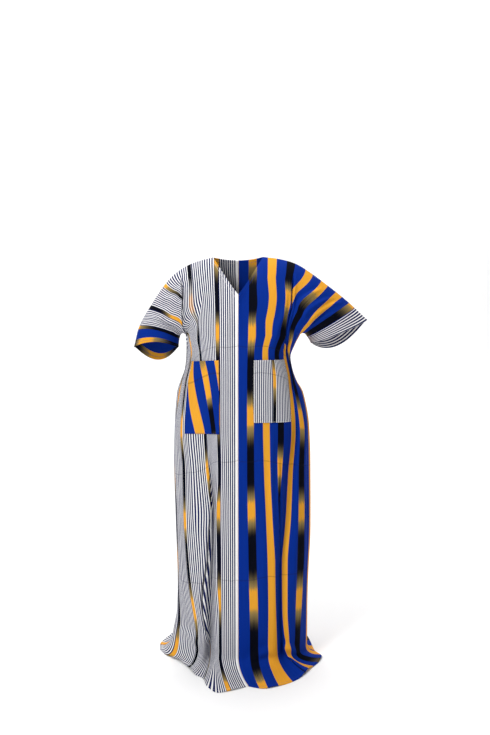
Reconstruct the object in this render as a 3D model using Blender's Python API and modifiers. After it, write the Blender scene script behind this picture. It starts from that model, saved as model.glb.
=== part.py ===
"""Grand boubou robe, worn and standing open.

Each side of the robe is one length of cloth with its sleeve cut in one, so every
panel is drawn from its flat pattern: u runs out from the centre seam along the
shoulder, v runs down from the shoulder line. The body hangs in rings around the
trunk, the sleeve is a tube that opens downwards, and the spare length lies on the
floor. The origin is where the shoulders hold the robe, and the wearer faces -Y.
"""

import math

import bpy
import numpy as np

# Flat pattern, metres.
HALF_WIDTH = 0.40          # centre seam to side seam
BAND_START = 0.465         # centre seam to the join of the sleeve band
NECK_HALF = 0.088          # centre seam to the neck corner on the shoulder
YOKE = 0.24                # centre seam to where the cloth starts to round the arm

# How the robe stands.
FLOOR_Z = -1.395           # floor below the shoulders
UNDERARM_Z = -0.25         # level of the top of the side seams
NECK_FRONT = (-0.100, -0.1125)    # y and z of the point of the neck
NECK_BACK = (0.060, 0.008)        # y and z of the middle of the back of the neck
NECK_CURVE = (1.05, 1.08)         # bend of the front neck edge in y and in z
CHEST_ROUND = 0.65         # how much of the fall to the chest is a round curve
CHEST_REACH = 0.30         # how early the cloth reaches out to the chest
WALL = 0.002               # cloth wall
SEAM_GAP = 0.0003          # space left between sewn pieces
SEAM_STRIP = 0.0025        # cloth beside a seam that lies square to it
POCKET_LIFT = 0.0026       # pocket wall centre above panel wall centre
RING_STEPS = 240           # points worked out along a quarter ring
COLUMN_STEPS = 120         # points worked out along a column
TURN_STEPS = 60            # points worked out along the turn at the floor

LEFT, RIGHT = 1, -1        # the wearer's left is +X
FRONT, BACK = -1, 1        # the wearer faces -Y

# Shoulder line from neck corner to cuff.
SHOULDER = {
    # u, x, y, z
    LEFT: [
        (0.088, 0.0855, 0.000, 0.0178),
        (0.130, 0.1310, 0.003, 0.0124),
        (0.176, 0.1755, 0.006, 0.0030),
        (0.208, 0.2060, 0.010, -0.0085),
        (0.270, 0.2578, 0.015, -0.0409),
        (0.335, 0.3101, 0.020, -0.0793),
        (0.388, 0.3523, 0.028, -0.1110),
        (0.448, 0.3980, 0.035, -0.1490),
        (0.525, 0.4548, 0.040, -0.2036),
    ],
    RIGHT: [
        (0.088, 0.0880, 0.000, 0.0161),
        (0.124, 0.1273, 0.003, 0.0066),
        (0.165, 0.1659, 0.006, -0.0063),
        (0.201, 0.1980, 0.008, -0.0236),
        (0.240, 0.2295, 0.012, -0.0470),
        (0.290, 0.2622, 0.018, -0.0828),
        (0.366, 0.3053, 0.025, -0.1460),
        (0.460, 0.3526, 0.030, -0.2302),
        (0.525, 0.3702, 0.030, -0.2983),
    ],
}

# Underarm seam from the top of the side seam to the bottom of the cuff.
UNDERARM = {
    # u, x, y, z
    LEFT: [
        (0.400, 0.2170, 0.000, -0.250),
        (0.418, 0.2240, 0.002, -0.247),
        (0.436, 0.2310, 0.005, -0.248),
        (0.465, 0.2430, 0.015, -0.261),
        (0.525, 0.2560, 0.030, -0.284),
    ],
    RIGHT: [
        (0.400, 0.1850, 0.000, -0.250),
        (0.418, 0.1935, 0.002, -0.247),
        (0.436, 0.2010, 0.006, -0.250),
        (0.465, 0.2090, 0.017, -0.267),
        (0.525, 0.2150, 0.030, -0.297),
    ],
}

# How far the cloth stands out round the arm, half way down.
FULLNESS = {
    # u, front out, front up, back out, back up
    LEFT: [
        (0.088, 0.000, 0.000, 0.000, 0.000),
        (0.180, 0.008, 0.000, 0.010, 0.000),
        (0.300, 0.038, 0.000, 0.036, 0.002),
        (0.400, 0.060, 0.002, 0.060, 0.000),
        (0.465, 0.063, -0.002, 0.064, -0.036),
        (0.525, 0.062, -0.004, 0.062, -0.055),
    ],
    RIGHT: [
        (0.088, 0.000, 0.000, 0.000, 0.000),
        (0.180, 0.010, 0.000, 0.010, 0.000),
        (0.300, 0.044, 0.002, 0.036, 0.002),
        (0.400, 0.068, 0.006, 0.060, 0.000),
        (0.465, 0.078, 0.016, 0.074, -0.034),
        (0.525, 0.078, 0.022, 0.078, -0.052),
    ],
}

# Rings round the trunk.
TRUNK = [
    # z, half width right, half width left, depth front, depth back
    (-0.250, 0.185, 0.217, 0.128, 0.125),
    (-0.290, 0.182, 0.196, 0.140, 0.130),
    (-0.330, 0.183, 0.182, 0.149, 0.136),
    (-0.372, 0.188, 0.189, 0.157, 0.141),
    (-0.412, 0.203, 0.203, 0.163, 0.146),
    (-0.455, 0.216, 0.227, 0.167, 0.150),
    (-0.575, 0.225, 0.249, 0.170, 0.156),
    (-0.700, 0.228, 0.254, 0.169, 0.157),
    (-0.930, 0.223, 0.256, 0.168, 0.156),
    (-1.130, 0.218, 0.248, 0.170, 0.157),
    (-1.234, 0.221, 0.246, 0.172, 0.160),
    (-1.320, 0.236, 0.246, 0.175, 0.164),
    (-1.395, 0.246, 0.244, 0.177, 0.166),
]
RING_POWER = 2.25          # roundness of the rings, 2 is an ellipse

# How much lower a row of the cloth lies at the side seam than at the centre seam.
SAG = [
    # z, right, left
    (-0.250, 0.000, 0.000),
    (-0.300, 0.014, 0.003),
    (-0.345, 0.028, 0.006),
    (-0.450, 0.036, 0.010),
    (-0.580, 0.034, 0.010),
    (-0.760, 0.016, 0.005),
    (-1.000, 0.000, 0.000),
    (-1.395, 0.000, 0.000),
]

# Where lines of the cloth at set distances from the centre seam hang in the front.
FRONT_LINES = {
    # z, then x of the line at each distance from the centre seam
    LEFT: {
        "u": [0.052, 0.118, 0.184, 0.250, 0.316],
        "x": [
            (-0.250, 0.0465, 0.1030, 0.1430, 0.1720, 0.1960),
            (-0.305, 0.0430, 0.0910, 0.1300, 0.1590, 0.1750),
            (-0.400, 0.0410, 0.0930, 0.1400, 0.1760, 0.1900),
            (-0.585, 0.0410, 0.0950, 0.1440, 0.1900, 0.2180),
            (-0.720, 0.0415, 0.0985, 0.1400, 0.1800, 0.2140),
            (-0.870, 0.0450, 0.1045, 0.1360, 0.1730, 0.2150),
            (-1.040, 0.0485, 0.1100, 0.1340, 0.1600, 0.2140),
            (-1.200, 0.0530, 0.1120, 0.1380, 0.1610, 0.2100),
            (-1.340, 0.0545, 0.1130, 0.1480, 0.1740, 0.2050),
            (-1.395, 0.0560, 0.1150, 0.1540, 0.1820, 0.2080),
        ],
    },
    RIGHT: {
        "u": [0.078, 0.173, 0.268, 0.363],
        "x": [
            (-0.250, 0.0715, 0.1370, 0.1660, 0.1810),
            (-0.305, 0.0700, 0.1300, 0.1620, 0.1790),
            (-0.400, 0.0680, 0.1220, 0.1810, 0.1980),
            (-0.575, 0.0670, 0.1120, 0.1960, 0.2220),
            (-0.700, 0.0645, 0.1060, 0.1880, 0.2240),
            (-0.860, 0.0655, 0.0960, 0.1860, 0.2190),
            (-1.020, 0.0640, 0.0960, 0.1770, 0.2160),
            (-1.120, 0.0640, 0.0980, 0.1670, 0.2140),
            (-1.250, 0.0630, 0.0980, 0.1460, 0.2080),
            (-1.340, 0.0630, 0.0980, 0.1410, 0.2160),
            (-1.395, 0.0630, 0.0980, 0.1480, 0.2200),
        ],
    },
}

# Long folds: troughs that run down the cloth.
FOLDS = [
    # side, face, u at top, u at bottom, z top, z full, z bottom, depth, half width
    (LEFT, FRONT, 0.265, 0.190, -0.42, -0.62, -1.60, 0.034, 0.036),
    (LEFT, FRONT, 0.250, 0.270, -0.16, -0.30, -0.50, 0.028, 0.040),
    (LEFT, FRONT, 0.345, 0.350, -0.46, -0.70, -1.38, 0.010, 0.018),
    (RIGHT, FRONT, 0.120, 0.178, -0.48, -1.05, -1.60, 0.042, 0.034),
    (RIGHT, FRONT, 0.255, 0.245, -0.20, -0.34, -0.56, 0.022, 0.034),
    (RIGHT, FRONT, 0.315, 0.320, -0.60, -0.80, -1.34, 0.010, 0.020),
    (LEFT, BACK, 0.185, 0.150, -0.30, -0.60, -1.60, 0.026, 0.034),
    (LEFT, BACK, 0.290, 0.310, -0.22, -0.40, -1.34, 0.020, 0.030),
    (RIGHT, BACK, 0.160, 0.195, -0.34, -0.64, -1.60, 0.028, 0.034),
    (RIGHT, BACK, 0.290, 0.325, -0.20, -0.40, -1.36, 0.018, 0.030),
]
FADE = 0.08                # length over which a fold ends

# Where the hem lies on the floor.
HEM = {
    # u, x, y
    (LEFT, FRONT): [
        (0.000, 0.034, -0.302),
        (0.052, 0.083, -0.320),
        (0.118, 0.147, -0.293),
        (0.184, 0.206, -0.240),
        (0.250, 0.250, -0.160),
        (0.316, 0.284, -0.098),
        (0.355, 0.295, -0.058),
        (0.400, 0.274, -0.006),
    ],
    (RIGHT, FRONT): [
        (0.000, -0.034, -0.302),
        (0.078, 0.031, -0.340),
        (0.118, 0.067, -0.350),
        (0.142, 0.104, -0.296),
        (0.178, 0.118, -0.240),
        (0.215, 0.148, -0.212),
        (0.268, 0.170, -0.160),
        (0.330, 0.222, -0.078),
        (0.370, 0.264, -0.034),
        (0.400, 0.286, 0.010),
    ],
    (LEFT, BACK): [
        (0.000, 0.012, 0.286),
        (0.100, 0.112, 0.288),
        (0.200, 0.200, 0.238),
        (0.300, 0.256, 0.140),
        (0.400, 0.274, -0.006),
    ],
    (RIGHT, BACK): [
        (0.000, -0.012, 0.286),
        (0.100, 0.088, 0.298),
        (0.200, 0.184, 0.254),
        (0.300, 0.248, 0.164),
        (0.372, 0.289, 0.052),
        (0.400, 0.286, 0.010),
    ],
}

# Ridges of the cloth that lies on the floor.
RIPPLES = [
    # side, face, u, rise, half width
    (LEFT, FRONT, 0.085, 0.008, 0.030),
    (LEFT, FRONT, 0.225, 0.018, 0.032),
    (LEFT, FRONT, 0.335, 0.012, 0.026),
    (RIGHT, FRONT, 0.060, 0.008, 0.030),
    (RIGHT, FRONT, 0.240, 0.018, 0.034),
    (RIGHT, FRONT, 0.315, 0.009, 0.026),
    (LEFT, BACK, 0.100, 0.018, 0.034),
    (LEFT, BACK, 0.250, 0.016, 0.030),
    (RIGHT, BACK, 0.130, 0.018, 0.034),
    (RIGHT, BACK, 0.280, 0.018, 0.030),
]

# Height above the floor where the cloth starts to turn out.
TURN_HEIGHT = {
    # height at the centre seam, height at the side seam
    LEFT: (0.075, 0.060),
    RIGHT: (0.075, 0.130),
}

# Grid lines of each panel: pocket edges and the neck corner fall on columns.
BODY_COLUMNS = {
    LEFT: [
        0.000, 0.0025, 0.020, 0.041, 0.062, 0.088, 0.106, 0.124, 0.143, 0.162,
        0.180, 0.198, 0.216, 0.234, 0.252, 0.270, 0.289, 0.309, 0.331, 0.355,
        0.385, 0.400,
    ],
    RIGHT: [
        0.000, 0.0025, 0.022, 0.047, 0.072, 0.088, 0.104, 0.120, 0.137, 0.154,
        0.171, 0.188, 0.206, 0.225, 0.245, 0.266, 0.288, 0.310, 0.333, 0.357,
        0.385, 0.400,
    ],
}
SLEEVE_COLUMNS = [0.415, 0.431, 0.448, BAND_START]
BAND_COLUMNS = [BAND_START, 0.485, 0.505, 0.525]
UPPER_ROWS = [0.0, 0.01, 0.04, 0.11, 0.20, 0.31, 0.43, 0.56, 0.69, 0.81, 0.90, 0.965, 1.0]
TRUNK_LEVELS = [
    -0.280, -0.305, -0.332, -0.368, -0.408, -0.450, -0.492, -0.535, -0.572,
    -0.640, -0.725, -0.815, -0.905, -1.000, -1.100, -1.210, -1.319,
]
FLOOR_ROWS = 5
POCKET_COLUMNS = {LEFT: (4, 13), RIGHT: (4, 14)}    # first and last column of a pocket
POCKET_ROWS = {LEFT: (15, 20), RIGHT: (15, 21)}     # first and last row of a pocket


def smooth(table, column, where):
    """Read one column of a table at many places, along a curve with no overshoot."""
    rows = np.array(table)
    xs, ys = rows[:, 0], rows[:, column]
    if xs[0] > xs[-1]:
        xs, ys = xs[::-1], ys[::-1]
    steps = np.diff(ys) / np.diff(xs)
    product = steps[:-1] * steps[1:]
    total = np.where(steps[:-1] + steps[1:] == 0, 1.0, steps[:-1] + steps[1:])
    inner = np.where(product > 0, 2 * product / total, 0.0)
    slopes = np.concatenate([steps[:1], inner, steps[-1:]])
    where = np.clip(where, xs[0], xs[-1])
    i = np.clip(np.searchsorted(xs, where) - 1, 0, len(xs) - 2)
    span = xs[i + 1] - xs[i]
    t = (where - xs[i]) / span
    start = ys[i] * (1 + 2 * t) * (1 - t) ** 2 + slopes[i] * span * t * (1 - t) ** 2
    end = ys[i + 1] * t ** 2 * (3 - 2 * t) + slopes[i + 1] * span * t ** 2 * (t - 1)
    return start + end


def ease(t):
    """Rise from 0 to 1 with a level start and end."""
    t = np.clip(t, 0.0, 1.0)
    return t * t * (3 - 2 * t)


def along(points, shares):
    """Points at given shares of the length of a dense line of points."""
    steps = np.linalg.norm(np.diff(points, axis=0), axis=1)
    length = np.concatenate([[0.0], np.cumsum(steps)])
    at = np.asarray(shares) * length[-1]
    return np.stack([np.interp(at, length, points[:, k]) for k in range(3)], axis=1)


def fold_depth(side, face, z, u):
    """How far the folds draw the cloth in at each u."""
    inward = np.zeros_like(u)
    for a_side, a_face, top, bottom, z_top, z_full, z_bottom, depth, width in FOLDS:
        if (a_side, a_face) != (side, face):
            continue
        strength = ease((z_top - z) / (z_top - z_full)) * ease((z - z_bottom) / FADE)
        down = np.clip((z_top - z) / (z_top - max(z_bottom, FLOOR_Z)), 0, 1)
        centre = top + (bottom - top) * down
        inward += depth * strength * np.exp(-(((u - centre) / width) ** 2))
    return inward


def ring(side, face, z, u):
    """Points of the ring at one level, at set distances from the centre seam.

    The front lines hang where their table puts them and fold straight back. The back
    is spread evenly and folds in square to the ring.
    """
    u = np.asarray(u, dtype=float)
    turn = np.linspace(0.0, math.pi / 2, RING_STEPS + 1)
    sag = smooth(SAG, 1 if side == RIGHT else 2, z)
    level = z - sag * (turn / (math.pi / 2)) ** 2
    half = smooth(TRUNK, 1 if side == RIGHT else 2, level)
    depth = smooth(TRUNK, 3 if face == FRONT else 4, level)
    x = half * np.sin(turn) ** (2 / RING_POWER)
    y = depth * np.cos(turn) ** (2 / RING_POWER)
    steps = np.hypot(np.diff(x), np.diff(y))
    arc = np.concatenate([[0.0], np.cumsum(steps)])
    inward = fold_depth(side, face, z, u)
    if face == FRONT:
        lines = FRONT_LINES[side]
        at = [float(smooth(lines["x"], k + 1, z)) for k in range(len(lines["u"]))]
        hang = [(0.0, 0.0), *zip(lines["u"], np.interp(at, x, arc)), (HALF_WIDTH, arc[-1])]
        place = smooth(hang, 1, u)
        move_x, move_y = 0.0, -inward
    else:
        place = u / HALF_WIDTH * arc[-1]
        move_x = inward * np.interp(place, arc, np.gradient(y, arc))
        move_y = -inward * np.interp(place, arc, np.gradient(x, arc))
    out_x = np.interp(place, arc, x) + move_x
    out_y = np.interp(place, arc, y) + move_y
    at_level = np.interp(place, arc, level)
    return np.stack([side * out_x, face * np.maximum(out_y, 0.0), at_level], axis=-1)


def column_top(side, face, u):
    """Where a column of the panel starts: on the neck edge or the shoulder."""
    if u >= NECK_HALF:
        x, y, z = (float(smooth(SHOULDER[side], k, u)) for k in (1, 2, 3))
        return np.array([side * x, y, z])
    out = u / NECK_HALF
    corner = SHOULDER[side][0]
    if face == FRONT:
        y = NECK_FRONT[0] * (1 - out) ** NECK_CURVE[0]
        z = NECK_FRONT[1] + (corner[3] - NECK_FRONT[1]) * out ** NECK_CURVE[1]
    else:
        y = NECK_BACK[0] * (1 - out ** 2)
        z = NECK_BACK[1] + (corner[3] - NECK_BACK[1]) * out ** 2
    return np.array([side * corner[1] * out, y, z])


def column(side, face, u):
    """One column of the panel, from the shoulder to the underarm level."""
    top = column_top(side, face, u)
    if u <= HALF_WIDTH:
        low = ring(side, face, UNDERARM_Z, [u])[0]
    else:
        x, y, z = (float(smooth(UNDERARM[side], k, u)) for k in (1, 2, 3))
        low = np.array([side * x, y, z])
    t = np.linspace(0.0, 1.0, COLUMN_STEPS + 1)
    tube = float(ease((u - YOKE) / (HALF_WIDTH - YOKE)))
    bend = CHEST_ROUND * float(ease(u / (YOKE / 2)))
    quarter = 1 - np.cos(t * math.pi / 2)
    half = (1 - np.cos(t * math.pi)) / 2
    fall = (1 - tube) * ((1 - bend) * t + bend * quarter) + tube * half
    reach = (1 - tube) * (t + CHEST_REACH * t * (1 - t)) + tube * half
    out, up = (1, 2) if face == FRONT else (3, 4)
    width = max(u, NECK_HALF)
    swell_out = float(smooth(FULLNESS[side], out, width))
    swell_up = float(smooth(FULLNESS[side], up, width))
    swell = np.sin(t * math.pi)
    sway = np.sin(t * math.pi) ** 2
    x = top[0] + (low[0] - top[0]) * half
    y = top[1] + (low[1] - top[1]) * reach + face * swell_out * swell
    z = top[2] + (low[2] - top[2]) * fall + swell_up * sway
    return along(np.stack([x, y, z], axis=1), UPPER_ROWS)


def turn_height(side, u):
    """Height above the floor where a column starts to turn out."""
    centre, seam = TURN_HEIGHT[side]
    return WALL / 2 + centre + (seam - centre) * (u / HALF_WIDTH) ** 2


def floor_part(side, face, columns, rows):
    """The turn at the floor and the spare length lying out to the hem."""
    steps = np.linspace(0.0, 1.0, TURN_STEPS + 1)[:, None]
    ground = FLOOR_Z + WALL / 2
    lines = []
    for u in columns:
        start = ring(side, face, FLOOR_Z + turn_height(side, u), [u])[0]
        foot = ring(side, face, FLOOR_Z, [u])[0]
        hem_x = side * float(smooth(HEM[(side, face)], 1, u))
        hem_y = float(smooth(HEM[(side, face)], 2, u))
        lift = 0.0
        for a_side, a_face, centre, rise, width in RIPPLES:
            if (a_side, a_face) == (side, face):
                lift += rise * math.exp(-(((u - centre) / width) ** 2))
        corner = np.array([foot[0], foot[1], ground])
        hem = np.array([hem_x, hem_y, ground])
        curve = (1 - steps) ** 2 * start + 2 * steps * (1 - steps) * corner + steps ** 2 * hem
        curve[:, 2] += lift * ease(steps[:, 0] / 0.7) * (1 - 0.5 * steps[:, 0])
        lines.append(along(curve, rows))
    return np.array(lines)


def panel_points(side, face):
    """Every point of a panel before sewing: the body columns, then the sleeve columns."""
    columns = BODY_COLUMNS[side]
    upper = np.array([column(side, face, u) for u in columns])
    sleeve = np.array([column(side, face, u) for u in SLEEVE_COLUMNS])
    trunk = []
    for u in columns:
        last = FLOOR_Z + turn_height(side, u)
        stretch = (UNDERARM_Z - last) / (UNDERARM_Z - TRUNK_LEVELS[-1])
        levels = [UNDERARM_Z + (z - UNDERARM_Z) * stretch for z in TRUNK_LEVELS]
        trunk.append([ring(side, face, z, [u])[0] for z in levels])
    rows = np.linspace(0.0, 1.0, FLOOR_ROWS + 1)[1:]
    spread = floor_part(side, face, columns, rows)
    body = np.concatenate([upper, np.array(trunk), spread], axis=1)
    return np.concatenate([body.reshape(-1, 3), sleeve.reshape(-1, 3)])


def panel_numbers():
    """Point numbers of a panel: the body grid, and the upper rows of all columns."""
    columns = len(BODY_COLUMNS[LEFT])
    upper = len(UPPER_ROWS)
    rows = upper + len(TRUNK_LEVELS) + FLOOR_ROWS
    body = np.arange(columns * rows).reshape(columns, rows)
    sleeve = np.arange(len(SLEEVE_COLUMNS) * upper).reshape(-1, upper) + body.size
    return body, np.vstack([body[:, :upper], sleeve])


def sew(points, edge, mine, other, strip=None):
    """Part two panels at a seam.

    The seam line is moved half a gap towards its own panel. Where a strip line is
    given, it is laid close beside the seam, so both walls cross the seam square.
    """
    line = points[edge]
    across = mine - other
    run = np.gradient(line, axis=0)
    run /= np.linalg.norm(run, axis=1, keepdims=True)
    across -= run * (across * run).sum(axis=1, keepdims=True)
    across /= np.linalg.norm(across, axis=1, keepdims=True)
    if strip is not None:
        points[strip] = line[:len(strip)] + across[:len(strip)] * SEAM_STRIP
    points[edge] = line + across * (SEAM_GAP / 2)


def sewn_panel(side, face):
    """One panel, parted from its neighbours at every seam."""
    raw = panel_points(side, face)
    behind = panel_points(side, -face)
    beside = panel_points(-side, face)
    body, upper = panel_numbers()
    points = raw.copy()
    sew(points, upper[-1], raw[upper[-2]], column(side, face, BAND_COLUMNS[1]))
    neck = BODY_COLUMNS[side].index(NECK_HALF)
    near = upper[neck:, 2]
    sew(points, upper[neck:, 0], raw[near], behind[near], upper[neck:, 1])
    rising = body[-1, :upper.shape[1] - 1:-1]
    rising_near = body[-2, :upper.shape[1] - 1:-1]
    side_seam = np.concatenate([rising, upper[body.shape[0] - 1:, -1]])
    near = np.concatenate([rising_near, upper[body.shape[0] - 1:, -2]])
    sew(points, side_seam, raw[near], behind[near], rising_near[:FLOOR_ROWS])
    sew(points, body[0], raw[body[2]], beside[body[2]], body[1])
    return points


def collection():
    """A collection named for the object."""
    made = bpy.data.collections.new("grand_boubou_robe")
    bpy.context.scene.collection.children.link(made)
    return made


def material(name, colour, roughness):
    """A plain cloth material."""
    made = bpy.data.materials.new(name)
    made.use_nodes = True
    shader = made.node_tree.nodes["Principled BSDF"]
    shader.inputs["Base Color"].default_value = (*colour, 1.0)
    shader.inputs["Roughness"].default_value = roughness
    shader.inputs["Metallic"].default_value = 0.0
    return made


def cloth(name, points, faces, look, home):
    """One piece of cloth: an open surface given its wall."""
    mesh = bpy.data.meshes.new(name)
    mesh.from_pydata([tuple(p) for p in points], [], faces)
    mesh.update()
    made = bpy.data.objects.new(name, mesh)
    home.objects.link(made)
    mesh.materials.append(look)
    split = made.modifiers.new("Triangles", "TRIANGULATE")
    split.quad_method = "FIXED"
    wall = made.modifiers.new("Wall", "SOLIDIFY")
    wall.thickness = WALL
    wall.offset = 0.0
    wall.use_even_offset = False
    return made


def grid_faces(index):
    """Faces between neighbouring rows and columns of a grid of point numbers."""
    quads = []
    for i in range(index.shape[0] - 1):
        for j in range(index.shape[1] - 1):
            quads.append((
                int(index[i, j]),
                int(index[i + 1, j]),
                int(index[i + 1, j + 1]),
                int(index[i, j + 1]),
            ))
    return quads


def make_panel(name, points, look, home):
    """A front or back panel with its half of the sleeve."""
    body, upper = panel_numbers()
    faces = grid_faces(body) + grid_faces(upper[body.shape[0] - 1:])
    cloth(name, points, faces, look, home)


def make_band(name, side, look, home):
    """The band round the end of a sleeve, one closed ring."""
    lines = []
    for u in [SLEEVE_COLUMNS[-2]] + BAND_COLUMNS:
        front = column(side, FRONT, u)
        back = column(side, BACK, u)
        front[1] = front[0] + [0.0, FRONT * SEAM_STRIP, 0.0]
        back[1] = back[0] + [0.0, BACK * SEAM_STRIP, 0.0]
        lines.append(np.concatenate([front, back[-2:0:-1]]))
    sleeve_end, rings = lines[0], np.array(lines[1:])
    numbers = np.arange(rings.shape[0] * rings.shape[1]).reshape(rings.shape[:2])
    points = rings.reshape(-1, 3)
    sew(points, numbers[0], rings[1], sleeve_end)
    cloth(name, points, grid_faces(np.hstack([numbers, numbers[:, :1]])), look, home)


def make_pocket(name, panel, columns, rows, look, home):
    """A patch pocket: a piece of its panel's own surface, moved outwards."""
    body = panel_numbers()[0]
    first, last = columns
    top, bottom = rows
    piece = panel[body[first - 1:last + 2, top - 1:bottom + 2]]
    normal = np.cross(np.gradient(piece, axis=0), np.gradient(piece, axis=1))
    normal /= np.linalg.norm(normal, axis=2, keepdims=True)
    outward = np.sign((normal * piece * [1, 1, 0]).sum(axis=2, keepdims=True))
    lifted = (piece + normal * outward * POCKET_LIFT)[1:-1, 1:-1]
    numbers = np.arange(lifted.shape[0] * lifted.shape[1]).reshape(lifted.shape[:2])
    cloth(name, lifted.reshape(-1, 3), grid_faces(numbers), look, home)


for old in list(bpy.data.objects):
    bpy.data.objects.remove(old)

robe = collection()
blue = material("blue_stripe_cotton", (0.012, 0.038, 0.300), 0.75)
pinstripe = material("pinstripe_cotton", (0.620, 0.620, 0.640), 0.78)

front_left = sewn_panel(LEFT, FRONT)
front_right = sewn_panel(RIGHT, FRONT)
make_panel("front_left", front_left, blue, robe)
make_panel("front_right", front_right, pinstripe, robe)
make_panel("back_left", sewn_panel(LEFT, BACK), blue, robe)
make_panel("back_right", sewn_panel(RIGHT, BACK), pinstripe, robe)
make_band("sleeve_band_left", LEFT, pinstripe, robe)
make_band("sleeve_band_right", RIGHT, blue, robe)
make_pocket("pocket_left", front_left, POCKET_COLUMNS[LEFT], POCKET_ROWS[LEFT], pinstripe, robe)
make_pocket("pocket_right", front_right, POCKET_COLUMNS[RIGHT], POCKET_ROWS[RIGHT], blue, robe)
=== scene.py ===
import math

import bpy
import numpy as np
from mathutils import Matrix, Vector


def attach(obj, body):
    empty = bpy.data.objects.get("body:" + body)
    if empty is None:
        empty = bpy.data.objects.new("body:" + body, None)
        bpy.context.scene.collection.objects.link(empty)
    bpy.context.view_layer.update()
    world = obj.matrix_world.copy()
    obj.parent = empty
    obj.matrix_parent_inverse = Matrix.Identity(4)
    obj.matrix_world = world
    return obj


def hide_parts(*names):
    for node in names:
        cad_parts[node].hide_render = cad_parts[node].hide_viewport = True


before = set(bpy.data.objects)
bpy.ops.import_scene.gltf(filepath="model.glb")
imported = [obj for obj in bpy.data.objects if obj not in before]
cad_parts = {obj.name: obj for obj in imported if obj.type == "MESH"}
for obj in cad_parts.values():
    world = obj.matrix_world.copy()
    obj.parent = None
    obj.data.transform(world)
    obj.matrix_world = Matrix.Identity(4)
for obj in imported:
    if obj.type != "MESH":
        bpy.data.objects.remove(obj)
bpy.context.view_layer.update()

# Studio.
# A pale paper sweep under and behind the robe, a soft light from the front and above, two
# weaker ones that open the shadows, and one that keeps the paper behind pale.
FLOOR_Z = -1.395
SWEEP_DEPTH = 2.6
SWEEP_RISE = 6.0
SWEEP_BEND = 1.2


def paper_sweep():
    """A floor that bends up into a wall: straight, a quarter circle, straight."""
    bend = np.linspace(0.0, math.pi / 2, 25)
    depth = np.concatenate([[-6.0], SWEEP_DEPTH + SWEEP_BEND * np.sin(bend), [SWEEP_DEPTH + SWEEP_BEND]])
    height = np.concatenate([[0.0], SWEEP_BEND * (1 - np.cos(bend)), [SWEEP_RISE]])
    across = np.array([-7.0, 7.0])
    x, y = np.meshgrid(across, depth, indexing="ij")
    z = np.broadcast_to(height + FLOOR_Z - 0.0005, x.shape)
    points = np.stack([x, y, z], axis=-1).reshape(-1, 3)
    n = depth.size
    faces = [(j, n + j, n + j + 1, j + 1) for j in range(n - 1)]
    mesh = bpy.data.meshes.new("paper_sweep")
    mesh.from_pydata(points.tolist(), [], faces)
    mesh.shade_smooth()
    made = bpy.data.objects.new("paper_sweep", mesh)
    bpy.context.scene.collection.objects.link(made)
    paper = bpy.data.materials.new("pale_paper")
    paper.use_nodes = True
    shader = paper.node_tree.nodes["Principled BSDF"]
    shader.inputs["Base Color"].default_value = (0.93, 0.93, 0.93, 1.0)
    shader.inputs["Roughness"].default_value = 0.9
    mesh.materials.append(paper)
    return made


def soft_light(name, place, aim, size, power):
    """A square soft light that points at a place."""
    lamp = bpy.data.lights.new(name, "AREA")
    lamp.shape = "SQUARE"
    lamp.size = size
    lamp.energy = power
    made = bpy.data.objects.new(name, lamp)
    bpy.context.scene.collection.objects.link(made)
    made.visible_camera = False
    made.location = place
    made.rotation_euler = (Vector(aim) - made.location).to_track_quat("-Z", "Y").to_euler()
    return made


paper_sweep()
soft_light("key", (-2.1, -2.8, 2.0), (0.0, 0.0, -0.4), 1.4, 128)
soft_light("fill", (2.8, -2.4, 0.9), (0.0, 0.0, -0.5), 2.4, 15)
soft_light("top", (0.2, -0.4, 3.4), (0.0, 0.0, -0.7), 2.0, 30)
soft_light("back", (0.0, 1.6, 3.6), (0.0, 3.0, -0.6), 3.0, 150)

sky = bpy.data.worlds.new("studio")
bpy.context.scene.world = sky
sky.use_nodes = True
sky.node_tree.nodes["Background"].inputs["Color"].default_value = (1.0, 1.0, 1.0, 1.0)
sky.node_tree.nodes["Background"].inputs["Strength"].default_value = 0.31

lens = bpy.data.cameras.new("camera")
lens.lens = 44.67
lens.sensor_width = 36.0
lens.dof.use_dof = False
camera = bpy.data.objects.new("camera", lens)
bpy.context.scene.collection.objects.link(camera)
camera.location = (0.0228, -3.2, -0.10)
camera.rotation_euler = (math.radians(90 - 4.8), 0.0, 0.0)
bpy.context.scene.camera = camera
bpy.context.scene.view_settings.view_transform = "Standard"
bpy.context.scene.view_settings.look = "None"

# Panels.
# Two fronts and two backs, each one length of woven cotton with half a sleeve cut in
# one. Each is drawn from its flat cut: u runs out from the centre seam along the
# shoulder, v runs down the cloth. The cloth hangs from the shoulders, goes round the
# trunk and the arm, and its spare length turns out on the floor.
LEFT, RIGHT = 1, -1
FRONT, BACK = -1, 1
HALF_WIDTH = 0.40
BAND_START = 0.465
NECK_HALF = 0.088
YOKE = 0.24
UNDERARM_Z = -0.25
NECK_FRONT = (-0.100, -0.1125)
NECK_BACK = (0.060, 0.008)
NECK_CURVE = (1.05, 1.08)
CHEST_ROUND = 0.65
CHEST_REACH = 0.30
RING_POWER = 2.25
CAD_WALL = 0.002
CLOTH_WALL = 0.0010
TURNED_EDGE = 0.014
COLUMN_STEP = 0.004
MOUTH = 0.0040
ROUND = 0.35
DEEPEST = 0.020
HIDDEN_DEPTH = 0.45
ROLL_OUTER = 0.0055
ROLL_INNER = 0.0035
BREAK = 0.62

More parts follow.
